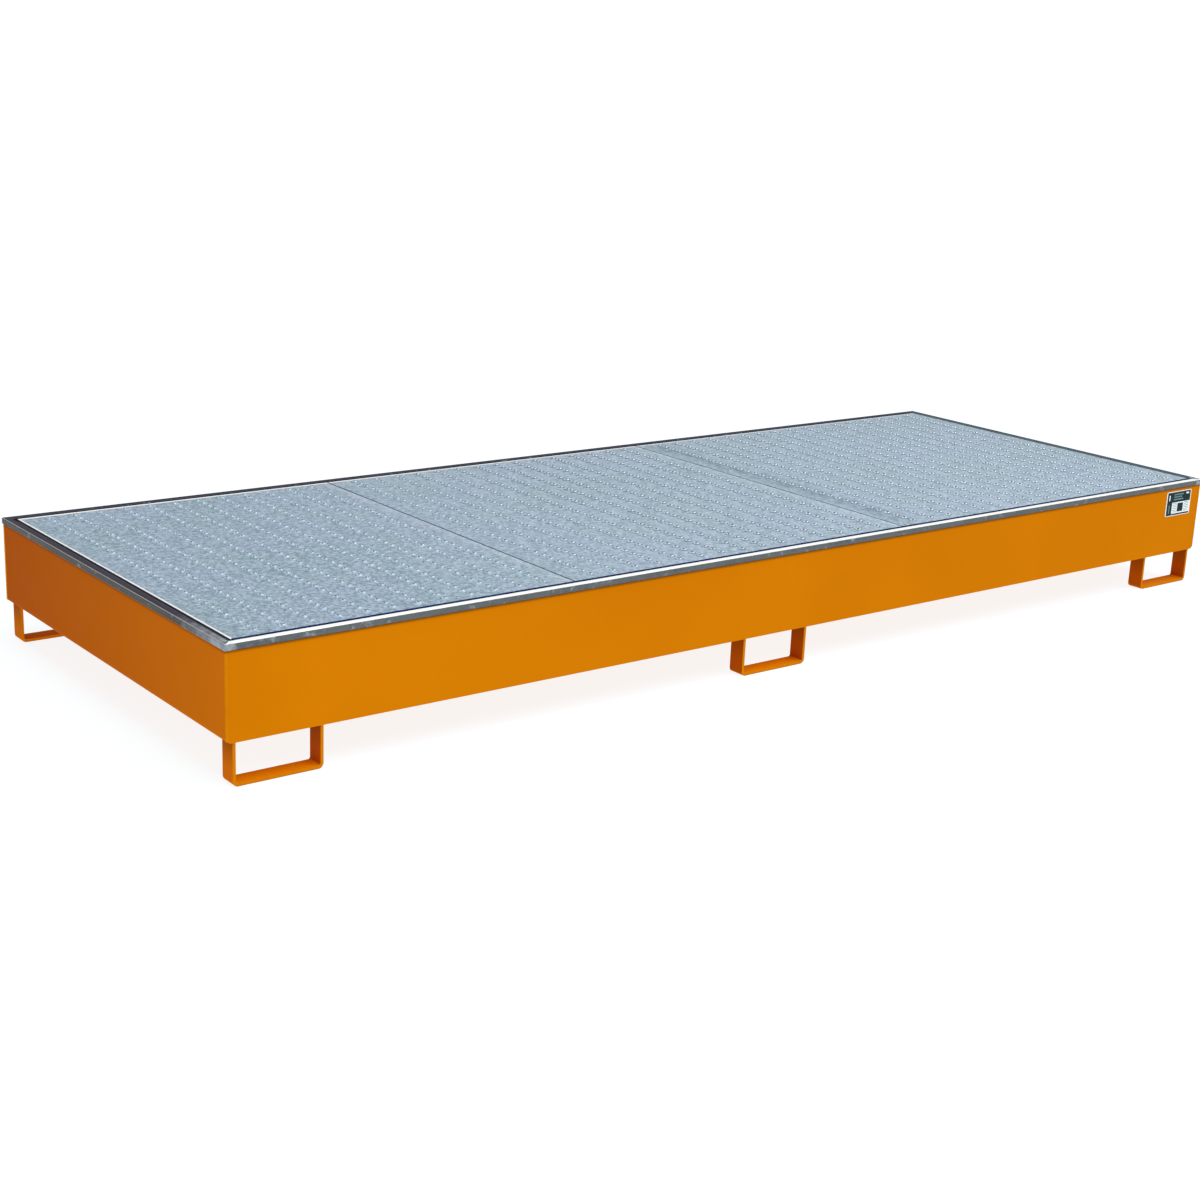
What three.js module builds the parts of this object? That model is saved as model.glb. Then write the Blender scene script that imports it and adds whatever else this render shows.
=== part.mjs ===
// A low spill tray with a walk-on steel deck: a painted sheet-steel sump on six bent-bar feet,
// a galvanised square-tube rim on its walls, and three galvanised deck panels that lift out.
// Units are millimetres. +X runs along the tray, -Y is its front, +Z is up, and the origin is
// on the ground under the middle of the tray.

import * as THREE from 'three';

// ---------------------------------------------------------------- driving dimensions

const TUB_LENGTH = 3550;
const TUB_WIDTH = 1300;
const TOTAL_HEIGHT = 345;
const WELD_GAP = 0.3; // clear distance left between pieces that touch

const TUB_SHEET = 3;
const TUB_BEND = 12; // outer radius of the fold between the floor and an end wall

const RAIL_WIDTH = 20;
const RAIL_HEIGHT = 18;
const RAIL_WALL = 2;
const RAIL_CORNER = 3;
const RAIL_OVERHANG = 3; // how far the rim stands out past the tub walls

const FOOT_BAR_WIDTH = 50;
const FOOT_BAR_THICK = 8;
const FOOT_LENGTH = 234;
const FOOT_CLEAR_HEIGHT = 100; // free height inside a foot, for forks
const FOOT_BEND = 14; // outer radius at a foot's two corners
const FOOT_SETBACK = 3; // from the outer face of the long wall
const FOOT_END_INSET = 16;
const MIDDLE_FOOT_X = -104; // the middle pair stands left of the tray's centre

const LEDGE_LEG = 40;
const LEDGE_THICK = 4;

const BEARER_WIDTH = 60;
const BEARER_HEIGHT = 40;
const POST_SIDE = 40;
const POST_Y = 400;
const BEARER_WALL = 3;

const DECK_TOP_BELOW_RIM = 1;
const DECK_SHEET = 3;
const DECK_DEPTH = 30; // from the top of the sheet to the lower edge of its folded skirt
const DECK_BEND = 4;
const DECK_GAP = 12; // between the deck and the rim, all round
const PANEL_GAP = 3; // between two panels
const PANEL_SEAMS = [-788, 398]; // X of the two joints between the three panels
const RIB_THICK = 6;
const RIB_SPACING = 340; // largest distance between the bars under a panel

const PLATE_WIDTH = 128;
const PLATE_HEIGHT = 82;
const PLATE_THICK = 1;
const PLATE_CORNER = 3;
const PLATE_FROM_END = 44;
const PLATE_BELOW_RIM = 10;

const ARC_STEPS = 6;

// ---------------------------------------------------------------- worked-out levels

const FLOOR_BOTTOM = FOOT_CLEAR_HEIGHT + FOOT_BAR_THICK;
const FLOOR_TOP = FLOOR_BOTTOM + TUB_SHEET;
const RAIL_BOTTOM = TOTAL_HEIGHT - RAIL_HEIGHT;
const WALL_TOP = RAIL_BOTTOM - WELD_GAP;
const RIM_LENGTH = TUB_LENGTH + 2 * RAIL_OVERHANG;
const RIM_WIDTH = TUB_WIDTH + 2 * RAIL_OVERHANG;
const DECK_TOP = TOTAL_HEIGHT - DECK_TOP_BELOW_RIM;
const LEDGE_TOP = DECK_TOP - DECK_DEPTH - WELD_GAP;
const BEARER_BOTTOM = LEDGE_TOP - BEARER_HEIGHT;
const INNER_LENGTH = TUB_LENGTH - 2 * (TUB_SHEET + WELD_GAP);
const INNER_WIDTH = TUB_WIDTH - 2 * (TUB_SHEET + WELD_GAP);
const DECK_LENGTH = RIM_LENGTH - 2 * (RAIL_WIDTH + DECK_GAP);
const DECK_WIDTH = RIM_WIDTH - 2 * (RAIL_WIDTH + DECK_GAP);

// ---------------------------------------------------------------- materials

const FINISHES = {
  paint: { color: 0xd87a05, roughness: 0.45, metalness: 0.0 },
  rim: { color: 0x8b9096, roughness: 0.35, metalness: 0.9 },
  deck: { color: 0xa3b1bf, roughness: 0.5, metalness: 0.85 },
  plate: { color: 0x27424a, roughness: 0.4, metalness: 0.0 },
};

const tray = new THREE.Group();

function addPiece(name, finish, geometry, { position = [0, 0, 0], turn = 0 } = {}) {
  const mesh = new THREE.Mesh(geometry, new THREE.MeshStandardMaterial(FINISHES[finish]));
  mesh.name = name;
  mesh.position.set(...position);
  mesh.rotation.z = turn;
  tray.add(mesh);
}

// ---------------------------------------------------------------- shapes

// An outline drawn in X and Z, carried along Y and centred on Y = 0.
function extrudeAlongY(outline, depth) {
  const geometry = new THREE.ExtrudeGeometry(outline, {
    depth,
    bevelEnabled: false,
    curveSegments: ARC_STEPS,
  });
  geometry.rotateX(Math.PI / 2);
  geometry.translate(0, depth / 2, 0);
  return geometry;
}

// An outline drawn in Y and Z, carried along X and centred on X = 0.
function extrudeAlongX(outline, length) {
  const geometry = extrudeAlongY(outline, length);
  geometry.rotateZ(Math.PI / 2);
  return geometry;
}

function roundedRectangle(width, height, radius) {
  const x = width / 2 - radius;
  const y = height / 2 - radius;
  const outline = new THREE.Shape();
  outline.absarc(x, -y, radius, -Math.PI / 2, 0);
  outline.absarc(x, y, radius, 0, Math.PI / 2);
  outline.absarc(-x, y, radius, Math.PI / 2, Math.PI);
  outline.absarc(-x, -y, radius, Math.PI, 1.5 * Math.PI);
  outline.closePath();
  return outline;
}

function tubeSection(width, height, wall, corner) {
  const section = roundedRectangle(width, height, corner);
  section.holes.push(roundedRectangle(width - 2 * wall, height - 2 * wall, corner - wall));
  return section;
}

// A flat bar or sheet bent into a U: two upright legs, rounded outer corners, open at the top.
function bentU(length, height, thick, bend) {
  const x = length / 2;
  const inner = bend - thick;
  const outline = new THREE.Shape();
  outline.moveTo(-x, height);
  outline.lineTo(-x, bend);
  outline.absarc(-x + bend, bend, bend, Math.PI, 1.5 * Math.PI);
  outline.absarc(x - bend, bend, bend, 1.5 * Math.PI, 2 * Math.PI);
  outline.lineTo(x, height);
  outline.lineTo(x - thick, height);
  outline.absarc(x - bend, bend, inner, 0, -Math.PI / 2, true);
  outline.absarc(-x + bend, bend, inner, 1.5 * Math.PI, Math.PI, true);
  outline.lineTo(-x + thick, height);
  outline.closePath();
  return outline;
}

// The long wall: flat, with its two lower corners rounded to follow the folded floor.
function longWallOutline() {
  const x = TUB_LENGTH / 2;
  const bendZ = FLOOR_BOTTOM + TUB_BEND;
  const outline = new THREE.Shape();
  outline.moveTo(-x, WALL_TOP);
  outline.lineTo(-x, bendZ);
  outline.absarc(-x + TUB_BEND, bendZ, TUB_BEND, Math.PI, 1.5 * Math.PI);
  outline.absarc(x - TUB_BEND, bendZ, TUB_BEND, 1.5 * Math.PI, 2 * Math.PI);
  outline.lineTo(x, WALL_TOP);
  outline.closePath();
  return outline;
}

// One side of the rim: a square tube whose two ends are cut to a 45 degree mitre.
// Its outer face is at Y = 0 and its inner face at Y = RAIL_WIDTH.
function mitredRail(length) {
  const geometry = extrudeAlongX(
    tubeSection(RAIL_WIDTH, RAIL_HEIGHT, RAIL_WALL, RAIL_CORNER),
    length,
  );
  geometry.translate(0, RAIL_WIDTH / 2, RAIL_HEIGHT / 2);
  const points = geometry.attributes.position;
  for (let i = 0; i < points.count; i += 1) {
    const side = Math.sign(points.getX(i));
    points.setX(i, side * (length / 2 - points.getY(i) - WELD_GAP / 2));
  }
  return geometry;
}

// An angle with its upright leg at Y = 0 and its flat leg reaching in along +Y, top at Z = 0.
function ledgeAngle(length) {
  const outline = new THREE.Shape();
  outline.moveTo(0, 0);
  outline.lineTo(0, -LEDGE_LEG);
  outline.lineTo(LEDGE_THICK, -LEDGE_LEG);
  outline.lineTo(LEDGE_THICK, -2 * LEDGE_THICK);
  outline.absarc(2 * LEDGE_THICK, -2 * LEDGE_THICK, LEDGE_THICK, Math.PI, Math.PI / 2, true);
  outline.lineTo(LEDGE_LEG, -LEDGE_THICK);
  outline.lineTo(LEDGE_LEG, 0);
  outline.closePath();
  return extrudeAlongX(outline, length);
}

// A closed solid through a series of rectangles, each { x, y, z } in half-sizes and height,
// with a flat cap on the first and on the last.
function loftRectangles(rectangles) {
  const corners = [[-1, -1], [1, -1], [1, 1], [-1, 1]];
  const ringPoints = ({ x, y, z }) => corners.flatMap(([sx, sy]) => [sx * x, sy * y, z]);
  const points = rectangles.flatMap(ringPoints);
  const faces = [0, 2, 1, 0, 3, 2];
  for (let ring = 0; ring + 1 < rectangles.length; ring += 1) {
    for (let side = 0; side < 4; side += 1) {
      const a = 4 * ring + side;
      const b = 4 * ring + ((side + 1) % 4);
      faces.push(a, b, b + 4, a, b + 4, a + 4);
    }
  }
  const last = 4 * (rectangles.length - 1);
  faces.push(last, last + 1, last + 2, last, last + 2, last + 3);
  const geometry = new THREE.BufferGeometry();
  geometry.setAttribute('position', new THREE.Float32BufferAttribute(points, 3));
  geometry.setIndex(faces);
  return geometry;
}

// A deck sheet with its four edges folded down, open underneath, with its top at Z = 0.
function foldedPan(length, width) {
  const bend = (radius, inset, steps) => steps.map((step) => {
    const angle = (step * Math.PI) / (2 * ARC_STEPS);
    return { inset: inset + radius * (1 - Math.cos(angle)), z: radius * Math.sin(angle) };
  });
  const steps = Array.from({ length: ARC_STEPS + 1 }, (_, step) => step);
  const inside = bend(DECK_BEND - DECK_SHEET, DECK_SHEET, steps).reverse();
  const outside = bend(DECK_BEND, 0, steps);
  const profile = [
    ...inside,
    { inset: DECK_SHEET, z: DECK_BEND - DECK_DEPTH },
    { inset: 0, z: DECK_BEND - DECK_DEPTH },
    ...outside,
  ];
  return loftRectangles(profile.map(({ inset, z }) => (
    { x: length / 2 - inset, y: width / 2 - inset, z: z - DECK_BEND }
  )));
}

// ---------------------------------------------------------------- the tub

function buildTub() {
  const height = WALL_TOP - FLOOR_BOTTOM;
  const shell = extrudeAlongY(bentU(TUB_LENGTH, height, TUB_SHEET, TUB_BEND), INNER_WIDTH);
  addPiece('tub_floor_and_ends', 'paint', shell, { position: [0, 0, FLOOR_BOTTOM] });
  for (const [name, side] of [['front', -1], ['rear', 1]]) {
    const wall = extrudeAlongY(longWallOutline(), TUB_SHEET);
    addPiece(`${name}_wall`, 'paint', wall, { position: [0, side * (TUB_WIDTH - TUB_SHEET) / 2, 0] });
  }
}

// ---------------------------------------------------------------- what runs round the tub

// The four sides: how long each is, how far it lies from the middle, and its turn about Z,
// so that a bar drawn along +X with +Y pointing inwards lands on that side.
function fourSides(length, width) {
  return [
    { side: 'front', length, position: [0, -width / 2], turn: 0 },
    { side: 'right', length: width, position: [length / 2, 0], turn: Math.PI / 2 },
    { side: 'rear', length, position: [0, width / 2], turn: Math.PI },
    { side: 'left', length: width, position: [-length / 2, 0], turn: -Math.PI / 2 },
  ];
}

function buildRim() {
  for (const { side, length, position, turn } of fourSides(RIM_LENGTH, RIM_WIDTH)) {
    addPiece(`${side}_rim_rail`, 'rim', mitredRail(length), { position: [...position, RAIL_BOTTOM], turn });
  }
}

function buildLedges() {
  const endClearance = 2 * (LEDGE_LEG + WELD_GAP);
  for (const { side, length, position, turn } of fourSides(INNER_LENGTH, INNER_WIDTH)) {
    const isEnd = side === 'left' || side === 'right';
    const bar = ledgeAngle(isEnd ? length - endClearance : length);
    addPiece(`${side}_deck_ledge`, 'paint', bar, { position: [...position, LEDGE_TOP], turn });
  }
}

// ---------------------------------------------------------------- what carries the joints

function buildBearer(name, x) {
  const corner = BEARER_WALL + 1;
  const beamLength = INNER_WIDTH - 2 * (LEDGE_LEG + WELD_GAP);
  const beam = extrudeAlongY(tubeSection(BEARER_WIDTH, BEARER_HEIGHT, BEARER_WALL, corner), beamLength);
  addPiece(`${name}_bearer`, 'paint', beam, { position: [x, 0, BEARER_BOTTOM + BEARER_HEIGHT / 2] });

  const postHeight = BEARER_BOTTOM - FLOOR_TOP - 2 * WELD_GAP;
  for (const [end, side] of [['front', -1], ['rear', 1]]) {
    const post = new THREE.ExtrudeGeometry(tubeSection(POST_SIDE, POST_SIDE, BEARER_WALL, corner), {
      depth: postHeight,
      bevelEnabled: false,
      curveSegments: ARC_STEPS,
    });
    addPiece(`${name}_bearer_${end}_post`, 'paint', post, {
      position: [x, side * POST_Y, FLOOR_TOP + WELD_GAP],
    });
  }
}

// ---------------------------------------------------------------- feet

function buildFeet() {
  const endX = TUB_LENGTH / 2 - FOOT_END_INSET - FOOT_LENGTH / 2;
  const rowY = TUB_WIDTH / 2 - FOOT_SETBACK - FOOT_BAR_WIDTH / 2;
  const height = FLOOR_BOTTOM - WELD_GAP;
  for (const [row, side] of [['front', -1], ['rear', 1]]) {
    for (const [place, x] of [['left', -endX], ['middle', MIDDLE_FOOT_X], ['right', endX]]) {
      const foot = extrudeAlongY(bentU(FOOT_LENGTH, height, FOOT_BAR_THICK, FOOT_BEND), FOOT_BAR_WIDTH);
      addPiece(`${row}_${place}_foot`, 'paint', foot, { position: [x, side * rowY, 0] });
    }
  }
}

// ---------------------------------------------------------------- deck

function buildDeckPanel(name, from, to) {
  const length = to - from;
  const middle = (from + to) / 2;
  addPiece(`${name}_deck_sheet`, 'deck', foldedPan(length, DECK_WIDTH), { position: [middle, 0, DECK_TOP] });

  const ribHeight = DECK_DEPTH - DECK_SHEET - WELD_GAP;
  const ribLength = DECK_WIDTH - 2 * (DECK_SHEET + WELD_GAP);
  const bays = Math.ceil(length / RIB_SPACING);
  for (let rib = 1; rib < bays; rib += 1) {
    const bar = new THREE.BoxGeometry(RIB_THICK, ribLength, ribHeight);
    const x = from + (rib * length) / bays;
    addPiece(`${name}_deck_rib_${rib}`, 'deck', bar, {
      position: [x, 0, DECK_TOP - DECK_DEPTH + ribHeight / 2],
    });
  }
}

function buildDeck() {
  const edges = [-DECK_LENGTH / 2, ...PANEL_SEAMS, DECK_LENGTH / 2];
  const half = PANEL_GAP / 2;
  buildDeckPanel('left', edges[0], edges[1] - half);
  buildDeckPanel('middle', edges[1] + half, edges[2] - half);
  buildDeckPanel('right', edges[2] + half, edges[3]);
}

// ---------------------------------------------------------------- rating plate

function buildRatingPlate() {
  const plate = extrudeAlongY(roundedRectangle(PLATE_WIDTH, PLATE_HEIGHT, PLATE_CORNER), PLATE_THICK);
  addPiece('rating_plate', 'plate', plate, {
    position: [
      TUB_LENGTH / 2 - PLATE_FROM_END - PLATE_WIDTH / 2,
      -TUB_WIDTH / 2 - WELD_GAP - PLATE_THICK / 2,
      RAIL_BOTTOM - PLATE_BELOW_RIM - PLATE_HEIGHT / 2,
    ],
  });
}

// ---------------------------------------------------------------- assembly

buildTub();
buildRim();
buildLedges();
buildBearer('left', PANEL_SEAMS[0]);
buildBearer('right', PANEL_SEAMS[1]);
buildFeet();
buildDeck();
buildRatingPlate();

export default tray;
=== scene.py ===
import math
import random

import bpy
from mathutils import Matrix, Vector


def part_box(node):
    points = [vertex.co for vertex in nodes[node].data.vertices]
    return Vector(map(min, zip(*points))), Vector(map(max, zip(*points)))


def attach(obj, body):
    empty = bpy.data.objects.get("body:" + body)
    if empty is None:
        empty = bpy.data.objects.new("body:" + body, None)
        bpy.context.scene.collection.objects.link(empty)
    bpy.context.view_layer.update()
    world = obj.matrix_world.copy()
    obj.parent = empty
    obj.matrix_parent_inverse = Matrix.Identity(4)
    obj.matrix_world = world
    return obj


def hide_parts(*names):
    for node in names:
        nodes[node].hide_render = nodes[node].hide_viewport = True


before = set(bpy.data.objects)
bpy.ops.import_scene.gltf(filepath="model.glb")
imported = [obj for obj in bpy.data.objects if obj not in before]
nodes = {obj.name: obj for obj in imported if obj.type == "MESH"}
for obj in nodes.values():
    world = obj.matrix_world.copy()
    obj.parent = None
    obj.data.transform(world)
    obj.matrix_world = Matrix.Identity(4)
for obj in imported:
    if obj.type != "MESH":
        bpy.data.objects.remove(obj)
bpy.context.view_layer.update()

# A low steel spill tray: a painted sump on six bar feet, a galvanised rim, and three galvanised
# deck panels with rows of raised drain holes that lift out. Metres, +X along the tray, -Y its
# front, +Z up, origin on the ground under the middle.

PANELS = ("left", "middle", "right")
MM = 0.001
random.seed(7)

# ---------------------------------------------------------------- camera

CAMERA_PLACE = (-3.637, -4.334, 1.665)
CAMERA_AZIMUTH = math.radians(38.3)  # from +Y towards +X
CAMERA_DOWN = math.radians(16.29)
CAMERA_ROLL = math.radians(2.473)
CAMERA_LENS = 57.84
SENSOR_WIDTH = 36.0


def make_camera():
    data = bpy.data.cameras.new("camera")
    data.sensor_width = SENSOR_WIDTH
    data.lens = CAMERA_LENS
    data.clip_start = 0.05
    data.clip_end = 300.0
    level = Vector((math.cos(CAMERA_AZIMUTH), -math.sin(CAMERA_AZIMUTH), 0.0))
    ahead = Vector((
        math.sin(CAMERA_AZIMUTH) * math.cos(CAMERA_DOWN),
        math.cos(CAMERA_AZIMUTH) * math.cos(CAMERA_DOWN),
        -math.sin(CAMERA_DOWN),
    ))
    upright = level.cross(ahead)
    right = level * math.cos(CAMERA_ROLL) + upright * math.sin(CAMERA_ROLL)
    up = upright * math.cos(CAMERA_ROLL) - level * math.sin(CAMERA_ROLL)
    camera = bpy.data.objects.new("camera", data)
    turned = Matrix((right, up, -ahead)).transposed().to_4x4()
    camera.matrix_world = Matrix.Translation(CAMERA_PLACE) @ turned
    bpy.context.scene.collection.objects.link(camera)
    bpy.context.scene.camera = camera


make_camera()

# ---------------------------------------------------------------- material tools


class Shader:
    """A node material with one Principled shader, and short calls that add and join nodes."""

    def __init__(self, name, **values):
        self.material = bpy.data.materials.new(name)
        self.material.use_nodes = True
        self.tree = self.material.node_tree
        self.shader = self.tree.nodes["Principled BSDF"]
        self.place = self.node("ShaderNodeTexCoord").outputs["Object"]
        for socket, value in values.items():
            self.shader.inputs[socket.replace("_", " ")].default_value = value

    def node(self, kind, inputs=None, **settings):
        made = self.tree.nodes.new(kind)
        for setting, value in settings.items():
            setattr(made, setting, value)
        for socket, value in (inputs or {}).items():
            if isinstance(value, bpy.types.NodeSocket):
                self.tree.links.new(value, made.inputs[socket])
            else:
                made.inputs[socket].default_value = value
        return made

    def drive(self, socket, source):
        self.tree.links.new(source, self.shader.inputs[socket])

    def stretched(self, scale):
        """The object's own coordinates, scaled by a different amount along each axis."""
        return self.node("ShaderNodeMapping", {"Vector": self.place, "Scale": scale}).outputs["Vector"]

    def noise(self, scale, detail=3.0, roughness=0.5, vector=None):
        made = self.node("ShaderNodeTexNoise", {
            "Vector": vector or self.place,
            "Scale": scale,
            "Detail": detail,
            "Roughness": roughness,
        })
        return made.outputs["Fac"]

    def spangle(self, scale):
        """A random value for each zinc crystal."""
        made = self.node("ShaderNodeTexVoronoi", {"Vector": self.place, "Scale": scale})
        return self.node("ShaderNodeSeparateColor", {"Color": made.outputs["Color"]}).outputs["Red"]

    def span(self, value, low, high, to_low, to_high):
        """value, remapped and clamped from low..high to to_low..to_high."""
        return self.node("ShaderNodeMapRange", {
            "Value": value,
            "From Min": low,
            "From Max": high,
            "To Min": to_low,
            "To Max": to_high,
        }).outputs["Result"]

    def math(self, operation, first, second):
        return self.node("ShaderNodeMath", {0: first, 1: second}, operation=operation).outputs["Value"]

    def times(self, first, *others):
        product = first
        for other in others:
            product = self.math("MULTIPLY", product, other)
        return product

    def axis(self, name):
        return self.node("ShaderNodeSeparateXYZ", {"Vector": self.place}).outputs[name]

    def facing(self, name, sign=1.0):
        """How far the surface faces along an axis, from -1 to 1."""
        normal = self.node("ShaderNodeNewGeometry").outputs["Normal"]
        share = self.node("ShaderNodeSeparateXYZ", {"Vector": normal}).outputs[name]
        return self.math("MULTIPLY", share, sign)

    def mix(self, share, first, second):
        made = self.node("ShaderNodeMix", {"Factor": share}, data_type="RGBA")
        colours = [s for s in made.inputs if s.type == "RGBA"]
        for socket, value in zip(colours, (first, second)):
            if isinstance(value, bpy.types.NodeSocket):
                self.tree.links.new(value, socket)
            else:
                socket.default_value = (*value, 1.0)
        return [s for s in made.outputs if s.type == "RGBA"][0]

    def bump(self, height, strength, distance, below=None):
        inputs = {"Height": height, "Strength": strength, "Distance": distance}
        if below is not None:
            inputs["Normal"] = below
        return self.node("ShaderNodeBump", inputs).outputs["Normal"]


# ---------------------------------------------------------------- materials

ORANGE = (0.685, 0.208, 0.001)
ORANGE_DEEP = (0.645, 0.190, 0.001)
# paler orange on the weld beads: a painted highlight on their rounded surfaces
ORANGE_WELD_HIGHLIGHT = (0.80, 0.30, 0.01)
# painted shade on the tub's ends, deepening towards the rear
ORANGE_END_SHADE = (0.630, 0.160, 0.001)
ORANGE_END_REAR_SHADE = (0.490, 0.095, 0.001)
ORANGE_SHADE_LEFT_LEGS = (0.660, 0.150, 0.001)  # painted shade on the sides of the two legs at the left end
ORANGE_SHADE_LEGS = (0.440, 0.082, 0.001)  # painted shade on the sides of all the other legs
# painted shadow, under the rim and at the tops of the legs
ORANGE_SHADOW = (0.20, 0.050, 0.002)
SCUFFED = (0.36, 0.12, 0.02)
PAINT_SHEEN = 0.004
LEFT_LEGS_X = (-1.75, -1.60)  # from the left legs' painted shade to the others'
LEG_SHADOW = 0.65  # how dark the painted shadow on the sides of the legs is at the top
LEG_SHADOW_FROM = 0.4  # where that starts, as a share of a leg's height
RIM_SHADOW = 0.8
RIM_SHADOW_REACH = 8 * MM  # how far the painted shadow under the rim reaches down
SCUFF_HEIGHT = 7 * MM  # above the ground

DARK_ZINC = (0.035, 0.042, 0.055)
ZINC_GROUND = (0.42, 0.48, 0.53)
ZINC_SHEET = (0.51, 0.62, 0.74)
ZINC_SHEET_DARK = (0.16, 0.235, 0.305)
ZINC_GREENISH = (0.305, 0.425, 0.510)
ZINC_VIOLET = (0.325, 0.425, 0.555)
# painted highlight on the crests of the drain holes
ZINC_CREST_HIGHLIGHT = (0.66, 0.77, 0.88)
ZINC_SKIRT = (0.33, 0.40, 0.47)
# dirt and painted shade at the feet of the drain holes' collars
DIRT_AND_SHADE = (0.09, 0.14, 0.19)
# painted shade in the gaps between the deck and the rim
GAP_SHADE_BLUE = (0.012, 0.030, 0.150)
GAP_SHADE_GREY = (0.05, 0.065, 0.09)
EDGE_WHITE = (0.84, 0.92, 1.0)
WHITE = (1.0, 1.0, 1.0)

# Each rim rail: which way it faces outward, and its painted light and shade on the outer face,
# rounded edges, top and inner face. The front rail's top is a painted reflection, the others' dark.
RAIL_LIGHT_AND_SHADE = {
    "front": ("Y", -1.0, (0.14, 0.15, 0.155), (0.05, 0.06, 0.07), (0.96, 1.0, 1.0), GAP_SHADE_BLUE),
    "rear": ("Y", 1.0, (0.14, 0.15, 0.155), (0.03, 0.03, 0.045), (0.012, 0.013, 0.025),
             (0.04, 0.045, 0.07)),
    "left": ("X", -1.0, (0.055, 0.055, 0.05), (0.75, 0.66, 0.66), (0.022, 0.022, 0.042), GAP_SHADE_BLUE),
    "right": ("X", 1.0, (0.14, 0.15, 0.155), (0.06, 0.10, 0.13), (0.03, 0.06, 0.085),
              (0.25, 0.32, 0.37)),
}
STREAKS_ACROSS = 260.0
STREAKS_ALONG = 5.0
CROWN_HIGHLIGHT = 0.85  # the painted highlight on the front rail's rounded upper edge, as a share of its top
CROWN_HIGHLIGHT_FROM = 2.0 * MM  # below the rail's top
CROWN_HIGHLIGHT_FULL = 1.0 * MM
GROUND_REACH = {"left": 0.24}  # how far the ground patches reach from the front corners
GROUND_REACH_ELSEWHERE = 0.03
GROUND_RAGGED = 0.07

DECK_LIGHTER = 0.08  # how much whiter the deck is right of its left third
STAIN = 0.72
STAIN_INSET = 0.062  # from the right seam to the middle of a run of dark stains
STAIN_HALF_WIDTH = (0.015, 0.060)  # full as far as the first, none beyond the second
SEAM_WEAR = 0.15
SEAM_WEAR_WIDTH = (0.010, 0.034)
REAR_HIGHLIGHT_WIDTH = 11 * MM  # the painted highlight along the rear of the deck
DIRT_AND_SHADE_FROM = (0.1 * MM, 0.7 * MM)  # dirt and painted shade lie between these heights on the drain holes' collars
DIRT_AND_SHADE_TO = (2.2 * MM, 3.4 * MM)
CREST_HEIGHT = (1.6 * MM, 3.6 * MM)
SKIRT_DEPTH = (4.5 * MM, 7.0 * MM)  # below the deck, where the painted tone on a panel's edge gives way to plain zinc


def shaded_leg_sides(paint, body, left_legs_shade, other_legs_shade):
    """Painted shade: deeper paint on the faces across the tray, and a painted shadow towards the top of
    each leg under the tub.
    """
    across = paint.math("ABSOLUTE", paint.facing("X"), 0.0)
    sideways = paint.mix(paint.span(paint.axis("X"), *LEFT_LEGS_X, 0.0, 1.0), left_legs_shade, other_legs_shade)
    leg_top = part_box("front_left_foot")[1].z
    shaded = paint.span(paint.axis("Z"), LEG_SHADOW_FROM * leg_top, leg_top, 0.0, LEG_SHADOW)
    sideways = paint.mix(shaded, sideways, ORANGE_SHADOW)
    return paint.mix(paint.span(across, 0.5, 0.9, 0.0, 1.0), body, sideways)


def powder_coat(name, colour, deep, rear=None, leg_shade=None):
    """Satin powder coat with faint clouds, a painted shadow under the rim and scuffs by the ground;
    painted shade may deepen it towards the rear or on faces across the tray.
    """
    paint = Shader(name, Roughness=0.42, Specular_IOR_Level=PAINT_SHEEN)
    cloud = paint.noise(2.2, detail=4.0)
    body = paint.mix(paint.span(cloud, 0.35, 0.68, 0.0, 1.0), colour, deep)
    # painted shade: darker towards the rear
    if rear:
        body = paint.mix(paint.span(paint.axis("Y"), -0.65, 0.65, 0.0, 1.0), body, rear)
    if leg_shade:
        body = shaded_leg_sides(paint, body, *leg_shade)
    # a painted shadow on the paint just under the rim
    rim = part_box("front_rim_rail")[0].z
    under_rim = paint.span(paint.axis("Z"), rim - RIM_SHADOW_REACH, rim, 0.0, RIM_SHADOW)
    body = paint.mix(under_rim, body, ORANGE_SHADOW)
    scuff = paint.noise(160.0, detail=5.0, roughness=0.7)
    sole = paint.span(paint.axis("Z"), 0.0, SCUFF_HEIGHT, 0.75, 0.0)
    scuffed = paint.times(sole, paint.span(scuff, 0.42, 0.6, 0.0, 1.0))
    paint.drive("Base Color", paint.mix(scuffed, body, SCUFFED))
    paint.drive("Roughness", paint.span(paint.noise(14.0, detail=6.0), 0.3, 0.7, 0.34, 0.50))
    peel = paint.noise(420.0, detail=2.0)
    wave = paint.noise(5.0, detail=1.0)
    paint.drive("Normal", paint.bump(peel, 0.18, 0.15 * MM, paint.bump(wave, 0.25, 1.2 * MM)))
    return paint.material


def tube_faces(tube, side):
    """Painted light and shade: a tone for each face of a rail, and on the front rail a painted highlight
    on its upper edge.
    """
    outward, sign, outer, edge, top, inner = RAIL_LIGHT_AND_SHADE[side]
    rail_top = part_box("front_rim_rail")[1].z
    faced = tube.mix(tube.span(tube.facing(outward, sign), 0.62, 0.86, 0.0, 1.0), edge, outer)
    topped = tube.mix(tube.span(tube.facing("Z"), 0.82, 0.95, 0.0, 1.0), faced, top)
    body = tube.mix(tube.span(tube.facing(outward, -sign), 0.5, 0.8, 0.0, 1.0), topped, inner)
    if side == "front":
        # a painted highlight on the front rail's rounded upper edge
        crown_highlight = tube.span(tube.axis("Z"), rail_top - CROWN_HIGHLIGHT_FROM, rail_top - CROWN_HIGHLIGHT_FULL, 0.0, CROWN_HIGHLIGHT)
        body = tube.mix(crown_highlight, body, top)
    return body


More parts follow.
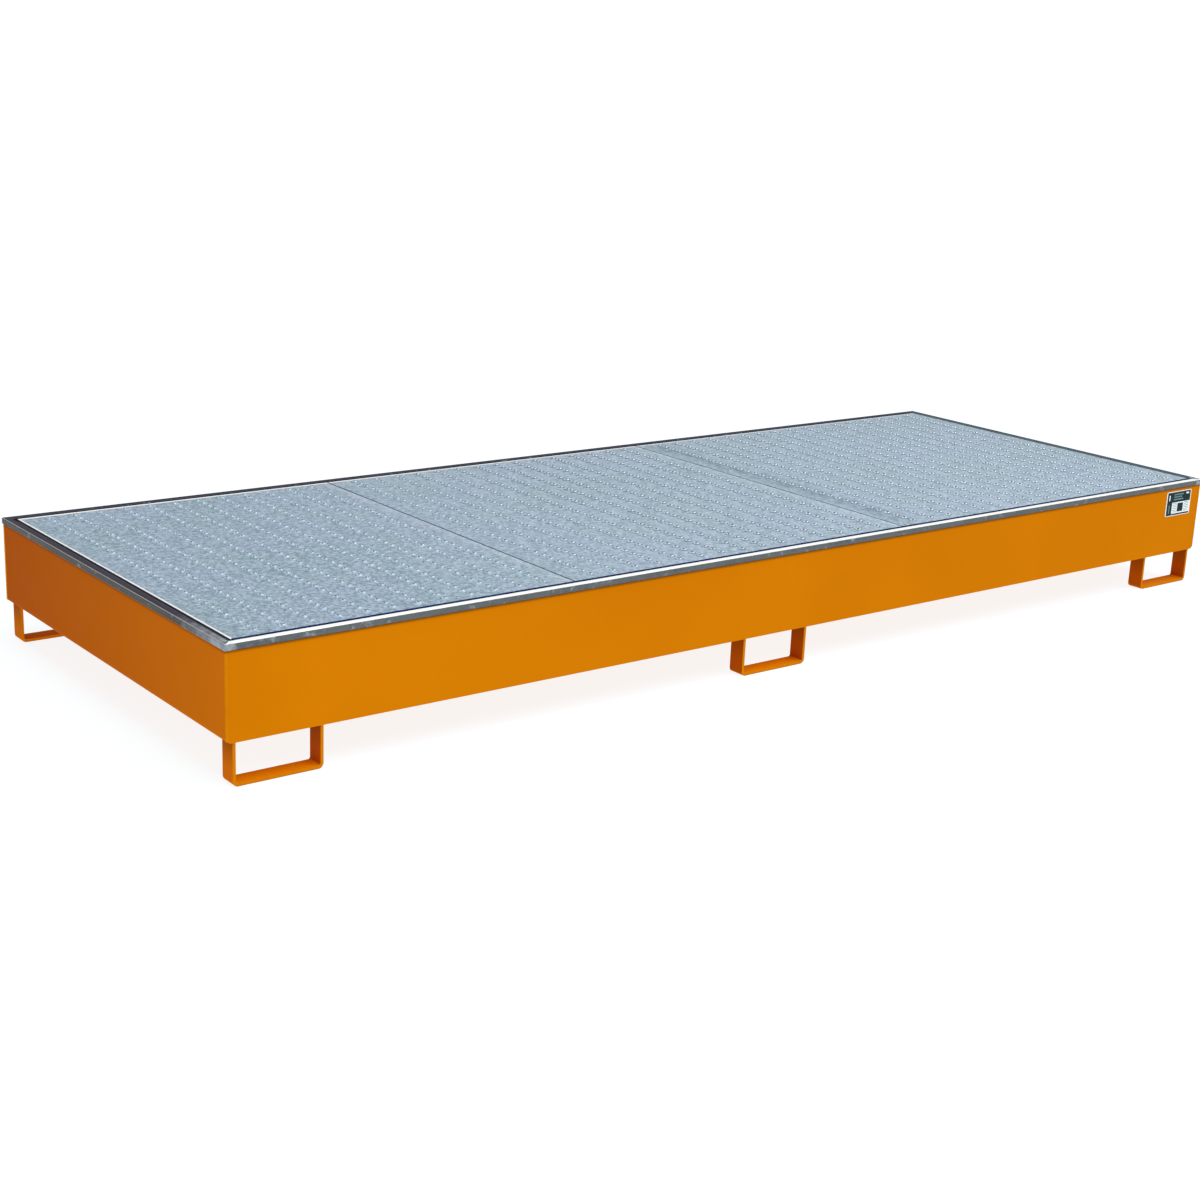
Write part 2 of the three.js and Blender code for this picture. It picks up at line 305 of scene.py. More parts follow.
def ground_patches(tube, side):
    """How much the tube is ground: ragged patches from the corners, fading towards the rear."""
    low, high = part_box("front_rim_rail")
    to_end = tube.math("SUBTRACT", high.x, tube.math("ABSOLUTE", tube.axis("X"), 0.0))
    to_side = tube.math("SUBTRACT", -low.y, tube.math("ABSOLUTE", tube.axis("Y"), 0.0))
    to_corner = tube.math("MAXIMUM", to_end, to_side)
    wander = tube.span(tube.noise(38.0, detail=5.0), 0.2, 0.8, -GROUND_RAGGED, GROUND_RAGGED)
    ragged = tube.math("ADD", to_corner, wander)
    reach = GROUND_REACH.get(side, GROUND_REACH_ELSEWHERE)
    forward = tube.span(tube.axis("Y"), -0.3, 0.0, 0.85, 0.0)
    patchy = tube.span(tube.noise(55.0, detail=4.0), 0.35, 0.65, 0.35, 1.0)
    return tube.times(tube.span(ragged, 0.2 * reach, reach, 1.0, 0.0), tube.times(forward, patchy))


def galvanised_tube(side):
    """Drawn tube: painted light and shade on its faces, fine streaks along it, zinc spangle, stains, and
    paler ground patches.
    """
    tube = Shader(f"galvanised_tube_{side}", Specular_IOR_Level=0.1)
    stretch = [STREAKS_ACROSS, STREAKS_ACROSS, STREAKS_ACROSS]
    stretch["YX".index(RAIL_LIGHT_AND_SHADE[side][0])] = STREAKS_ALONG
    streak = tube.noise(1.0, detail=3.0, vector=tube.stretched(stretch))
    body = tube_faces(tube, side)
    side_on = tube.span(tube.facing("Z"), 0.5, 0.9, 1.0, 0.0)
    tube.drive("Metallic", tube.times(side_on, 0.35))
    stain = tube.span(tube.noise(34.0, detail=6.0, roughness=0.75), 0.58, 0.70, 0.0, 0.8)
    body = tube.mix(tube.times(stain, side_on), body, ZINC_GROUND)
    fleck = tube.times(tube.spangle(110.0), tube.span(streak, 0.35, 0.7, 0.05, 0.40))
    body = tube.mix(tube.times(fleck, side_on), body, DARK_ZINC)
    ground = ground_patches(tube, side)
    tube.drive("Base Color", tube.mix(ground, body, ZINC_GROUND))
    shine = tube.span(streak, 0.3, 0.7, 0.30, 0.44)
    tube.drive("Roughness", tube.math("ADD", shine, tube.times(ground, 0.2)))
    mottle = tube.noise(150.0, detail=4.0)
    tube.drive("Normal", tube.bump(mottle, 0.12, 0.3 * MM, tube.bump(streak, 0.05, 0.2 * MM)))
    return tube.material


def speckled(zinc, speckle):
    """Fine light and dark specks over broad faint clouds of colour."""
    broad = zinc.noise(3.2, detail=3.0)
    hue = zinc.mix(zinc.span(broad, 0.4, 0.6, 0.0, 1.0), ZINC_GREENISH, ZINC_VIOLET)
    dull = zinc.mix(zinc.span(speckle, 0.34, 0.50, 1.0, 0.0), hue, ZINC_SHEET_DARK)
    body = zinc.mix(zinc.span(speckle, 0.50, 0.66, 0.0, 1.0), dull, ZINC_SHEET)
    return zinc.mix(zinc.span(zinc.axis("X"), -1.2, -0.4, 0.0, DECK_LIGHTER), body, EDGE_WHITE)


def stained(zinc, body):
    """Blotches in a dark run across the deck, beyond the right seam."""
    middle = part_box("right_deck_sheet")[0].x + STAIN_INSET
    away = zinc.math("ABSOLUTE", zinc.math("SUBTRACT", zinc.axis("X"), middle), 0.0)
    blot = zinc.span(zinc.noise(30.0, detail=4.0, roughness=0.7), 0.38, 0.58, 0.0, STAIN)
    near = zinc.span(away, *STAIN_HALF_WIDTH, 1.0, 0.0)
    return zinc.mix(zinc.times(blot, near), body, ZINC_SHEET_DARK)


def worn_and_highlit(zinc, body):
    """Bright wear left of both seams, and a painted highlight along the rear."""
    for panel in PANELS[:-1]:
        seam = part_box(f"{panel}_deck_sheet")[1].x
        inward = zinc.math("SUBTRACT", seam, zinc.axis("X"))
        on_panel = zinc.span(inward, -1 * MM, 0.0, 0.0, 1.0)
        near = zinc.span(inward, *SEAM_WEAR_WIDTH, SEAM_WEAR, 0.0)
        body = zinc.mix(zinc.times(on_panel, near), body, EDGE_WHITE)
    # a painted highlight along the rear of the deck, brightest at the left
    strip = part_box("left_deck_sheet")[1].y - REAR_HIGHLIGHT_WIDTH
    behind = zinc.span(zinc.axis("Y"), strip - 2 * MM, strip, 0.0, 1.0)
    leftward = zinc.span(zinc.axis("X"), -1.7, 1.2, 1.0, 0.3)
    return zinc.mix(zinc.times(behind, leftward), body, WHITE)


def hole_marks(zinc, body):
    """On the drain holes: dirt and painted shade low on the collars, most in front and towards the right,
    and painted highlights on the crests.
    """
    height = zinc.math("SUBTRACT", zinc.axis("Z"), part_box("left_deck_sheet")[1].z)
    above = zinc.span(height, *DIRT_AND_SHADE_FROM, 0.0, 1.0)
    below = zinc.span(height, *DIRT_AND_SHADE_TO, 1.0, 0.0)
    # painted shade on the front sides of the collars, and more of it towards the right
    in_front = zinc.span(zinc.facing("Y", -1.0), -0.1, 0.4, 0.25, 1.0)
    dirt_and_shade = zinc.span(zinc.axis("X"), -1.1, -0.2, 0.10, 1.0)
    body = zinc.mix(zinc.times(above, below, in_front, dirt_and_shade), body, DIRT_AND_SHADE)
    # painted highlights on the crests, brighter towards the right
    crest_highlight = zinc.span(zinc.axis("X"), -1.2, 1.0, 0.31, 0.80)
    return zinc.mix(zinc.times(zinc.span(height, *CREST_HEIGHT, 0.0, 1.0), crest_highlight), body, ZINC_CREST_HIGHLIGHT)


def galvanised_sheet():
    """Matt hot-dip zinc with stains, wear and marks, and painted highlights and shade."""
    zinc = Shader("galvanised_deck_sheet", Metallic=0.25, Specular_IOR_Level=0.2)
    speckle = zinc.noise(95.0, detail=4.0, roughness=0.75)
    body = speckled(zinc, speckle)
    body = stained(zinc, body)
    body = worn_and_highlit(zinc, body)
    body = hole_marks(zinc, body)
    zinc.drive("Base Color", body)
    zinc.drive("Roughness", zinc.span(speckle, 0.3, 0.7, 0.46, 0.62))
    grit = zinc.bump(speckle, 0.5, 0.35 * MM)
    zinc.drive("Normal", zinc.bump(zinc.noise(700.0, detail=3.0), 0.2, 0.15 * MM, grit))
    return zinc.material


def painted_zinc_tone(name, near, far, dirt_and_shade):
    """A painted tone on zinc, of light or of shade as given: one tone at the left gives way to another at
    the right, dulled by dark blotches; lower down a skirt is plain zinc.
    """
    shade = Shader(name, Metallic=0.1, Roughness=0.7, Specular_IOR_Level=0.1)
    rightward = shade.span(shade.axis("X"), -1.5, 1.0, 0.0, 1.0)
    # dark blotches over the painted tone
    dirt = shade.span(shade.noise(60.0, detail=3.0), 0.40, 0.60, 0.0, dirt_and_shade)
    dulled = shade.mix(dirt, shade.mix(rightward, near, far), GAP_SHADE_GREY)
    depth = shade.math("SUBTRACT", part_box("left_deck_sheet")[1].z, shade.axis("Z"))
    shade.drive("Base Color", shade.mix(shade.span(depth, *SKIRT_DEPTH, 0.0, 1.0), dulled, ZINC_SKIRT))
    return shade.material


def printed(name, colour, worn_colour):
    """A satin printed field with slightly uneven ink."""
    ink = Shader(name, Roughness=0.45, Specular_IOR_Level=0.1)
    uneven = ink.span(ink.noise(210.0, detail=5.0), 0.35, 0.7, 0.0, 1.0)
    ink.drive("Base Color", ink.mix(uneven, colour, worn_colour))
    ink.drive("Roughness", ink.span(ink.noise(90.0), 0.3, 0.7, 0.36, 0.52))
    return ink.material


LEG_SIDE_SHADES = (ORANGE_SHADE_LEFT_LEGS, ORANGE_SHADE_LEGS)
paint = powder_coat("orange_powder_coat", ORANGE, ORANGE_DEEP)
# the ends' paint carries painted shade, darker towards the rear
paint_on_ends_shaded = powder_coat("orange_paint_shaded_on_ends", ORANGE_END_SHADE, ORANGE_END_SHADE, rear=ORANGE_END_REAR_SHADE)
# the bar feet's paint carries painted shade on the sides of the legs
paint_on_bar_shaded = powder_coat("orange_paint_shaded_on_bar", ORANGE, ORANGE_DEEP, leg_shade=LEG_SIDE_SHADES)
# the weld beads' paint carries a painted highlight
paint_with_weld_highlight = powder_coat("orange_paint_with_weld_highlight", ORANGE_WELD_HIGHLIGHT, ORANGE)
# each rail's material carries painted light and shade on its faces
rail_zinc = {side: galvanised_tube(side) for side in RAIL_LIGHT_AND_SHADE}
zinc = galvanised_sheet()
# painted shade inside the drain holes, darker towards the right
zinc_hole_shade = painted_zinc_tone("zinc_painted_shade_in_holes", (0.52, 0.60, 0.68), (0.03, 0.045, 0.06), 0.4)
# painted shade on the panel edges seen in the gaps
zinc_gap_shade = painted_zinc_tone("zinc_painted_shade_in_gap", GAP_SHADE_BLUE, GAP_SHADE_BLUE, 0.3)
# a painted highlight on the bright panel edges
zinc_edge_highlight = painted_zinc_tone("zinc_edge_painted_highlight", WHITE, EDGE_WHITE, 0.1)

# ---------------------------------------------------------------- finish on the CAD pieces

EDGE_ROUND = {"paint": 0.7 * MM, "zinc": 0.4 * MM}


def finish_node(name, material, edge):
    piece = nodes[name]
    piece.data.materials.clear()
    piece.data.materials.append(material)
    weld = piece.modifiers.new("weld", "WELD")
    weld.merge_threshold = 0.01 * MM
    bevel = piece.modifiers.new("bevel", "BEVEL")
    bevel.width = edge
    bevel.segments = 2
    bevel.limit_method = "ANGLE"
    bevel.angle_limit = math.radians(35.0)
    smooth = piece.modifiers.new("normals", "WEIGHTED_NORMAL")
    smooth.keep_sharp = True


def finish_nodes():
    for name in nodes:
        if name.endswith("_rim_rail"):
            finish_node(name, rail_zinc[name.removesuffix("_rim_rail")], EDGE_ROUND["zinc"])
        elif "_deck_rib" in name:
            finish_node(name, zinc, EDGE_ROUND["zinc"])
        elif name.endswith("_foot"):
            finish_node(name, paint_on_bar_shaded, EDGE_ROUND["paint"])
        elif name == "tub_floor_and_ends":
            finish_node(name, paint_on_ends_shaded, EDGE_ROUND["paint"])
        elif "_deck_sheet" not in name and name != "rating_plate":
            finish_node(name, paint, EDGE_ROUND["paint"])


finish_nodes()

# ---------------------------------------------------------------- mesh tools


def add_mesh(name, points, faces, materials, body, slots=None):
    mesh = bpy.data.meshes.new(name)
    mesh.from_pydata(points, [], faces)
    for material in materials:
        mesh.materials.append(material)
    if slots:
        mesh.polygons.foreach_set("material_index", slots)
    mesh.update()
    piece = bpy.data.objects.new(name, mesh)
    bpy.context.scene.collection.objects.link(piece)
    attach(piece, body)
    return piece


def shade(piece, sharp_from):
    piece.data.polygons.foreach_set("use_smooth", [True] * len(piece.data.polygons))
    piece.data.set_sharp_from_angle(angle=math.radians(sharp_from))
    normals = piece.modifiers.new("normals", "WEIGHTED_NORMAL")
    normals.keep_sharp = True


# ---------------------------------------------------------------- deck panels

SHEET = 3 * MM
BEND = 1.8 * MM  # outer radius of the folded edge
BEND_STEPS = 4
SEAM_REACH = 0.7 * MM  # how much nearer two panels stand than their plain pans
FLAT_INSET = 4 * MM  # from the panel's edge to the outermost lines of its mesh
HOLE_PITCH = 34.5 * MM  # along a row, and from its ends to the edges
HOLE_ROWS = {"left": 12, "middle": 15, "right": 17}
HOLE_SIDES = 16
TEETH = 4
TOOTH = 0.40  # how far the lip rises and falls, as a share of its height
# A drain hole's section: radius and height above the sheet, from the toe of its collar over
# the toothed lip, down the hole, and out again under the sheet.
DRAIN_HOLE = (
    (13.0 * MM, 0.0),
    (10.8 * MM, 1.2 * MM),
    (8.8 * MM, 3.1 * MM),
    (7.0 * MM, 4.2 * MM),
    (6.2 * MM, 3.4 * MM),
    (5.6 * MM, -0.6 * MM),
    (8.6 * MM, -1.4 * MM),
    (11.6 * MM, -SHEET),
)
LIP_RING = 4  # inside this ring the hole has painted shade
ZINC, HOLE, GAP, EDGE = range(4)  # a panel's materials: plain, painted shade in the holes, painted shade on an edge, painted highlight on an edge
PLAIN_RIGHT_LEVELS = 1  # of its right edge, how many levels down the bend are plain


def skirt_profile(depth):
    """The folded edge as (inset, height): the bend, down the outside and back up inside."""
    angles = [math.pi / 2 * step / BEND_STEPS for step in range(BEND_STEPS + 1)]
    bend = [(BEND * (1 - math.sin(a)), BEND * (math.cos(a) - 1)) for a in angles]
    return [*bend, (0.0, -depth), (SHEET, -depth), (SHEET, -SHEET)]


def hole_lattice(low, high, count):
    """Places of count holes, one pitch from either edge, and of the mesh lines around them."""
    pitch = (high - low) / (count + 1)
    holes = [low + pitch * (k + 1) for k in range(count)]
    between = [low + pitch * (k + 1.5) for k in range(count - 1)]
    return holes, [low + FLAT_INSET, *between, high - FLAT_INSET]


def hole_ring(x, y, top, radius, height, turns):
    """One ring of a hole; above the sheet it rises at the teeth and dips between them."""
    ring = []
    for turn in turns:
        lift = height * (1 + TOOTH * math.cos(TEETH * turn)) if height > 0 else height
        ring.append((x + radius * math.cos(turn), y + radius * math.sin(turn), top + lift))
    return ring


def edge_slot(side, place, level):
    """The material of one level of a panel's edge: 0 is the flat strip before the bend."""
    # GAP is painted shade on the bends seen in the gaps; EDGE is a painted highlight at the rear and on
    # the left panel's left edge
    if level > (PLAIN_RIGHT_LEVELS if place == "right" else BEND_STEPS):
        return GAP
    if place == "rear" or place == side == "left":
        return EDGE
    return ZINC if place == "right" or level == 0 else GAP


class PanelMesh:
    """A folded pan with drain holes: its top and underside part round a lattice of them."""

    def __init__(self, side):
        self.side = side
        self.low, self.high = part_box(f"{side}_deck_sheet")
        self.columns = HOLE_ROWS[side]
        self.rows = round((self.high.y - self.low.y) / HOLE_PITCH) - 1
        left = self.low.x - (0.0 if side == "left" else SEAM_REACH)
        right = self.high.x + (0.0 if side == "right" else SEAM_REACH)
        self.hole_x, self.line_x = hole_lattice(left, right, self.columns)
        self.hole_y, self.line_y = hole_lattice(self.low.y, self.high.y, self.rows)
        self.points = []
        self.faces = []
        self.slots = []
        self.top = self.grid(self.high.z)
        self.under = self.grid(self.high.z - SHEET)
        for column in range(self.columns):
            for row in range(self.rows):
                self.cell(column, row)
        self.skirt()

    def face(self, corners, slot=ZINC):
        self.faces.append(tuple(corners))
        self.slots.append(slot)

    def grid(self, z):
        first = len(self.points)
        for x in self.line_x:
            self.points.extend((x, y, z) for y in self.line_y)
        return lambda i, j: first + i * (self.rows + 1) + j

    def cell(self, column, row):
        """One drain hole, joined to the lines around it above and below."""
        turns = [math.pi / 4 + 2 * math.pi * k / HOLE_SIDES for k in range(HOLE_SIDES)]
        first = len(self.points)
        x, y = self.hole_x[column], self.hole_y[row]
        for radius, height in DRAIN_HOLE:
            self.points.extend(hole_ring(x, y, self.high.z, radius, height, turns))
        for ring in range(len(DRAIN_HOLE) - 1):
            outer = first + ring * HOLE_SIDES
            inner = outer + HOLE_SIDES
            slot = HOLE if ring >= LIP_RING else ZINC
            for k in range(HOLE_SIDES):
                after = (k + 1) % HOLE_SIDES
                self.face((outer + k, outer + after, inner + after, inner + k), slot)
        last = first + (len(DRAIN_HOLE) - 1) * HOLE_SIDES
        quarter = HOLE_SIDES // 4
        corners = ((column + 1, row + 1), (column, row + 1), (column, row), (column + 1, row))
        for q in range(4):
            arc = [(q * quarter + k) % HOLE_SIDES for k in range(quarter + 1)]
            here, there = corners[q], corners[(q + 1) % 4]
            self.face((self.top(*here), self.top(*there), *(first + k for k in reversed(arc))))
            self.face((self.under(*there), self.under(*here), *(last + k for k in arc)))

    def rim(self):
        """The outermost crossings of the lattice and the place of each step between them."""
        columns, rows = self.columns, self.rows
        crossings = [(i, 0) for i in range(columns)]
        crossings += [(columns, j) for j in range(rows)]
        crossings += [(i, rows) for i in range(columns, 0, -1)]
        crossings += [(0, j) for j in range(rows, 0, -1)]
        places = ["front"] * columns + ["right"] * rows + ["rear"] * columns + ["left"] * rows
        return crossings, places

    def skirt(self):
        """The folded edge all round, from the top's outermost lines to the underside's."""
        rim, places = self.rim()
        rings = [[self.top(i, j) for i, j in rim]]
        for inset, height in skirt_profile(self.high.z - self.low.z):
            out = FLAT_INSET - inset
            rings.append(range(len(self.points), len(self.points) + len(rim)))
            for i, j in rim:
                x = self.line_x[i] + out * ((i == self.columns) - (i == 0))
                y = self.line_y[j] + out * ((j == self.rows) - (j == 0))
                self.points.append((x, y, self.high.z + height))
        rings.append([self.under(i, j) for i, j in rim])
        for level, (upper, lower) in enumerate(zip(rings, rings[1:])):
            for k, place in enumerate(places):
                after = (k + 1) % len(rim)
                corners = (lower[k], lower[after], upper[after], upper[k])
                self.face(corners, edge_slot(self.side, place, level))


def deck_panel(side):
    mesh = PanelMesh(side)
    materials = [zinc, zinc_hole_shade, zinc_gap_shade, zinc_edge_highlight]
    body = f"{side}_deck_panel"
    panel = add_mesh(f"{body}_sheet", mesh.points, mesh.faces, materials, body, mesh.slots)
    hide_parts(f"{side}_deck_sheet")
    shade(panel, sharp_from=50.0)


for side in PANELS:
    deck_panel(side)

# ---------------------------------------------------------------- rating plate

PLATE_PRINT = 0.15 * MM  # how far each printed layer stands on the one below
PLATE_CORNER = 5 * MM
PLATE_CHAMFER = 0.3 * MM
CORNER_STEPS = 6
# Printed fields as (ink, layer, left, bottom, right, top), in shares of the plate's width and
# height from its lower left corner. They are plain blocks and rules, with nothing written.
PLATE_FIELDS = [
    ("petrol", 1, 0.03, 0.55, 0.97, 0.97),
    ("petrol", 1, 0.03, 0.03, 0.24, 0.55),
    ("petrol", 1, 0.24, 0.03, 0.97, 0.09),
    ("petrol", 1, 0.47, 0.15, 0.70, 0.50),
    ("pale", 2, 0.29, 0.84, 0.68, 0.89),
    ("pale", 2, 0.29, 0.74, 0.62, 0.79),
    ("pale", 2, 0.29, 0.64, 0.68, 0.69),
    ("white", 2, 0.79, 0.84, 0.90, 0.91),
    ("white", 2, 0.10, 0.64, 0.14, 0.86),
    ("pale", 2, 0.11, 0.12, 0.15, 0.46),
]
PLATE_FIELDS += [("pale", 1, 0.28, 0.15 + 0.07 * row, 0.44, 0.17 + 0.07 * row) for row in range(6)]
PLATE_FIELDS += [("pale", 1, 0.73, 0.15 + 0.07 * row, 0.92, 0.17 + 0.07 * row) for row in range(6)]


def rounded_corners(low, high, inset):
    """The plate's outline, anticlockwise as seen from the front."""
    radius = PLATE_CORNER - inset
    outline = []
    for quarter, (end_x, end_z) in enumerate(((1, 1), (-1, 1), (-1, -1), (1, -1))):
        x = high.x - PLATE_CORNER if end_x > 0 else low.x + PLATE_CORNER
        z = high.z - PLATE_CORNER if end_z > 0 else low.z + PLATE_CORNER
        for step in range(CORNER_STEPS + 1):
            turn = math.pi / 2 * (quarter + step / CORNER_STEPS)
            outline.append((x + radius * math.cos(turn), z + radius * math.sin(turn)))
    return outline


def plate_blank(low, high):
    """The bare plate with a chamfered front edge, as points and faces."""
    points = []
    levels = ((0.0, high.y), (0.0, low.y + PLATE_CHAMFER), (PLATE_CHAMFER, low.y))
    for inset, y in levels:
        points.extend((x, y, z) for x, z in rounded_corners(low, high, inset))
    around = len(points) // len(levels)
    faces = [tuple(range(around - 1, -1, -1)), tuple(range(2 * around, 3 * around))]
    for level in range(len(levels) - 1):
        for k in range(around):
            here = level * around + k
            after = level * around + (k + 1) % around
            faces.append((here, after, after + around, here + around))
    return points, faces


def field_block(low, high, layer, left, bottom, right, top):
    """A printed field as a thin block: points, and faces that count from its first point."""
    width, height = high.x - low.x, high.z - low.z
    points = []
    for y in (low.y - layer * PLATE_PRINT, low.y + PLATE_PRINT):
        for across, up in ((left, bottom), (right, bottom), (right, top), (left, top)):
            points.append((low.x + across * width, y, low.z + up * height))
    front = (0, 1, 2, 3)
    back = (7, 6, 5, 4)
    sides = ((0, 4, 5, 1), (1, 5, 6, 2), (2, 6, 7, 3), (3, 7, 4, 0))
    return points, (front, back, *sides)


def rating_plate():
    low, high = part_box("rating_plate")
    inks = {
        "white": printed("plate_white", (0.93, 0.97, 0.97), (0.84, 0.90, 0.91)),
        "petrol": printed("plate_petrol", (0.004, 0.020, 0.026), (0.008, 0.032, 0.040)),
        "pale": printed("plate_pale_petrol", (0.13, 0.22, 0.24), (0.20, 0.31, 0.33)),
    }
    order = list(inks)
    points, faces = plate_blank(low, high)
    slots = [0] * len(faces)
    for ink, layer, *edges in PLATE_FIELDS:
        first = len(points)
        block_points, block_faces = field_block(low, high, layer, *edges)
        points.extend(block_points)
        faces.extend(tuple(first + corner for corner in quad) for quad in block_faces)
        slots.extend([order.index(ink)] * len(block_faces))
    plate = add_mesh("printed_rating_plate", points, faces, list(inks.values()), "tray", slots)
    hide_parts("rating_plate")
    shade(plate, sharp_from=40.0)


rating_plate()

# ---------------------------------------------------------------- weld beads

BEAD_SIDES = 8
BEAD_RIPPLE = 2.2 * MM
BEAD_SWELL = 0.10  # of its radius, up and down by turns
BEAD_UNEVEN = 0.06
BEAD_END = 0.45  # how thin its two ends are


def bead(points, faces, start, end, radius):
    """A rippled round bead with closed ends, from start to end."""
    start, end = Vector(start), Vector(end)
    along = (end - start).normalized()
    one = along.orthogonal().normalized()
    other = along.cross(one)
    count = max(3, round((end - start).length / BEAD_RIPPLE))
    first = len(points)
    for ring in range(count + 1):
        middle = start.lerp(end, ring / count)
        ends = BEAD_END if ring in (0, count) else 1.0
        uneven = random.uniform(-BEAD_UNEVEN, BEAD_UNEVEN)
        swell = radius * ends * (1.0 + BEAD_SWELL * (-1) ** ring + uneven)
        for k in range(BEAD_SIDES):
            turn = 2 * math.pi * k / BEAD_SIDES
            points.append(tuple(middle + swell * (math.cos(turn) * one + math.sin(turn) * other)))
    for ring in range(count):
        for k in range(BEAD_SIDES):
            here = first + ring * BEAD_SIDES
            after = (k + 1) % BEAD_SIDES
            faces.append((here + k, here + after, here + BEAD_SIDES + after, here + BEAD_SIDES + k))
    last = first + count * BEAD_SIDES
    faces.append(tuple(first + k for k in reversed(range(BEAD_SIDES))))
    faces.append(tuple(last + k for k in range(BEAD_SIDES)))


def add_beads(name, lines, material):
    """Beads along (start, end, radius) lines, as one piece."""
    points = []
    faces = []
    for start, end, radius in lines:
        bead(points, faces, start, end, radius)
    piece = add_mesh(name, points, faces, [material], "tray")
    shade(piece, sharp_from=60.0)


FOOT_BAR = 8 * MM  # thickness
FOOT_BEAD = 3 * MM
CORNER_BEAD = 4.5 * MM
CORNER_SUNK = 2.6 * MM
SEAM_BEAD = 2.4 * MM
SEAM_SUNK = 2.05 * MM
FRONT_SEAM = 0.0505  # the front wall's seam left of the middle, as a share of its half length
MITRE_BEAD = 2.2 * MM
MITRE_SUNK = 1.6 * MM


def foot_welds():
    """A fillet inside and outside each leg, where it meets the tub's floor."""
    for name in nodes:
        if not name.endswith("_foot"):
            continue
        low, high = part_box(name)
        lines = []
        for x in (low.x, low.x + FOOT_BAR, high.x - FOOT_BAR, high.x):
            lines.append(((x, low.y + MM, high.z), (x, high.y - MM, high.z), FOOT_BEAD))
        for x0, x1 in ((low.x, low.x + FOOT_BAR), (high.x - FOOT_BAR, high.x)):
            for y in (low.y, high.y):
                lines.append(((x0, y, high.z), (x1, y, high.z), FOOT_BEAD))
        add_beads(f"{name}_weld", lines, paint_with_weld_highlight)


def tub_welds():
    """Up the four corners of the tub, and where the front wall's two sheets meet."""
    low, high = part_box("tub_floor_and_ends")
    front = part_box("front_wall")[0]
    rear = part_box("rear_wall")[1]
    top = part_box("front_rim_rail")[0].z
    for row, y, inward in (("front", front.y, 1), ("rear", rear.y, -1)):
        for side, x, along in (("left", low.x, 1), ("right", high.x, -1)):
            place = (x + along * CORNER_SUNK, y + inward * CORNER_SUNK)
            line = ((*place, low.z + CORNER_BEAD), (*place, top), CORNER_BEAD)
            add_beads(f"{row}_{side}_corner_weld", [line], paint_with_weld_highlight)
    seam = low.x * FRONT_SEAM
    sunk = front.y + SEAM_SUNK
    line = ((seam, sunk, low.z + CORNER_BEAD), (seam, sunk, top), SEAM_BEAD)
    add_beads("front_wall_seam_weld", [line], paint)


def rim_welds():
    """Across the top of each mitre and down its outer edge."""
    low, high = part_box("front_rim_rail")
    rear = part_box("rear_rim_rail")[1]
    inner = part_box("left_rim_rail")[1].x - low.x
    z = high.z - MITRE_SUNK
    for row, y, inward in (("front", low.y, 1), ("rear", rear.y, -1)):
        for side, x, along in (("left", low.x, 1), ("right", high.x, -1)):
            outer = (x + along * MITRE_SUNK, y + inward * MITRE_SUNK)
            lines = [
                ((*outer, z), (x + along * inner, y + inward * inner, z), MITRE_BEAD),
                ((*outer, low.z + MM), (*outer, z), MITRE_BEAD),
            ]
            add_beads(f"{row}_{side}_mitre_weld", lines, rail_zinc["right"])


foot_welds()
tub_welds()
rim_welds()

# ---------------------------------------------------------------- studio

FLOOR_SIZE = 120.0
FLOOR_GLOW = 0.86
FLOOR_TONES = ((0.14, 0.20, 0.24), (0.15, 0.21, 0.25))
SKY_TONE = (1.0, 0.93, 0.90, 1.0)
SKY_LEVEL = 0.42
BACKDROP_LEVEL = 1.20


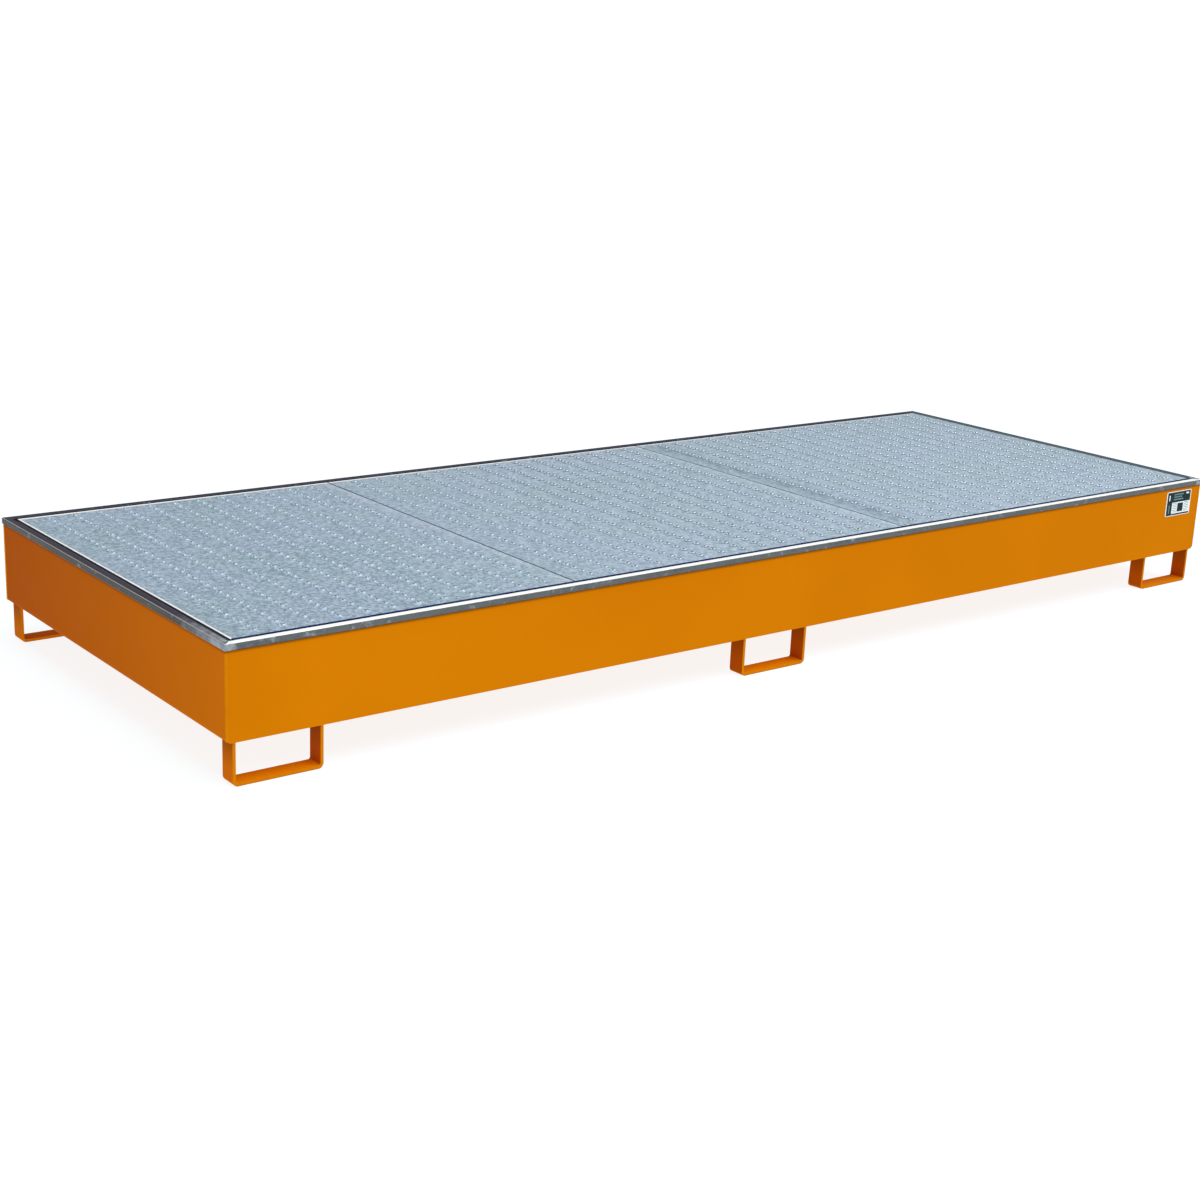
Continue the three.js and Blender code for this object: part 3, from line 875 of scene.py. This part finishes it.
def make_floor():
    half = FLOOR_SIZE / 2
    mesh = bpy.data.meshes.new("studio_floor")
    corners = [(-half, -half, 0), (half, -half, 0), (half, half, 0), (-half, half, 0)]
    mesh.from_pydata(corners, [], [(0, 1, 2, 3)])
    floor = bpy.data.objects.new("studio_floor", mesh)
    bpy.context.scene.collection.objects.link(floor)
    pale = Shader("pale_floor", Roughness=0.9, Specular_IOR_Level=0.1, Emission_Strength=FLOOR_GLOW)
    pale.drive("Base Color", pale.mix(pale.noise(0.6), *FLOOR_TONES))
    mesh.materials.append(pale.material)


def aim(light, towards):
    light.rotation_euler = Vector(towards).to_track_quat("-Z", "Y").to_euler()
    bpy.context.scene.collection.objects.link(light)


def daylight(name, from_direction, strength, width_degrees, colour):
    data = bpy.data.lights.new(name, "SUN")
    data.energy = strength
    data.angle = math.radians(width_degrees)
    data.color = colour
    aim(bpy.data.objects.new(name, data), -Vector(from_direction))


def strip_light(name, middle, length, width, power):
    """A long lamp over the tray, along X, that gives reflections and no diffuse light."""
    data = bpy.data.lights.new(name, "AREA")
    data.shape = "RECTANGLE"
    data.size, data.size_y = length, width
    data.energy = power
    light = bpy.data.objects.new(name, data)
    light.location = middle
    light.visible_diffuse = False
    aim(light, (0.0, 0.0, -1.0))


def corner_fill(name, place, size, power):
    """A small soft lamp near the front of the left end."""
    data = bpy.data.lights.new(name, "AREA")
    data.size = size
    data.energy = power
    light = bpy.data.objects.new(name, data)
    light.location = place
    light.visible_camera = False
    aim(light, (1.0, 0.0, 0.0))


def make_world():
    """Dim even light all round; the backdrop itself is brighter than white."""
    world = bpy.data.worlds.new("studio")
    world.use_nodes = True
    tree = world.node_tree
    sky = tree.nodes["Background"]
    sky.inputs["Color"].default_value = SKY_TONE
    seen = tree.nodes.new("ShaderNodeLightPath").outputs["Is Camera Ray"]
    level = tree.nodes.new("ShaderNodeMapRange")
    level.inputs["To Min"].default_value = SKY_LEVEL
    level.inputs["To Max"].default_value = BACKDROP_LEVEL
    tree.links.new(seen, level.inputs["Value"])
    tree.links.new(level.outputs["Result"], sky.inputs["Strength"])
    bpy.context.scene.world = world


make_floor()
make_world()
daylight(
    "key",
    from_direction=(0.15, -0.38, 0.91),
    strength=2.3,
    width_degrees=50.0,
    colour=(0.97, 1.0, 0.97),
)
corner_fill("corner_fill", place=(-2.9, -0.95, 0.35), size=0.5, power=1.4)
strip_light("ceiling_strip", middle=(2.6, -0.3, 3.2), length=8.0, width=0.9, power=120.0)
bpy.context.scene.view_settings.view_transform = "Standard"
